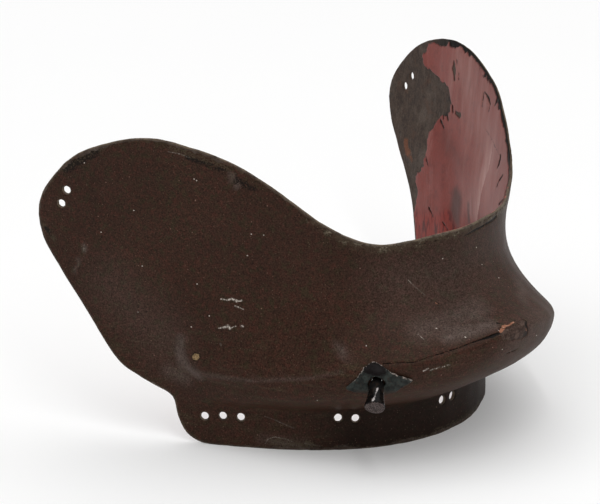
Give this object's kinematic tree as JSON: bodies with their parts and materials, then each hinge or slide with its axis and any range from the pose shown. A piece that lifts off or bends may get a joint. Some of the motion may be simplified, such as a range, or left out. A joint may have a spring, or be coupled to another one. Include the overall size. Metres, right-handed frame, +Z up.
{
  "type": "samurai half mask",
  "caption": "Half mask of samurai armour: a hammered iron plate for chin and cheeks with rounded wings, a jutting chin, a laced neck flange and a cord peg, lacquered brown and red.",
  "frame": {"origin": "on the surface that the mask stands on, under the centre of its bounding box", "axes": "+Z up, -Y the way the mask faces, +X towards the wearer's left"},
  "size_m": [0.1526, 0.117, 0.0928],
  "materials": {
    "brown_lacquer": "satin, fine-grained, worn",
    "red_lacquer": "gloss, chipped",
    "dark_iron": "satin, oxidised",
    "black_lacquer": "gloss"
  },
  "bodies": {
    "root": {"mask_plate": "brown_lacquer", "peg_washer_right": "dark_iron", "cord_peg_right": "black_lacquer"}
  },
  "joints": []
}
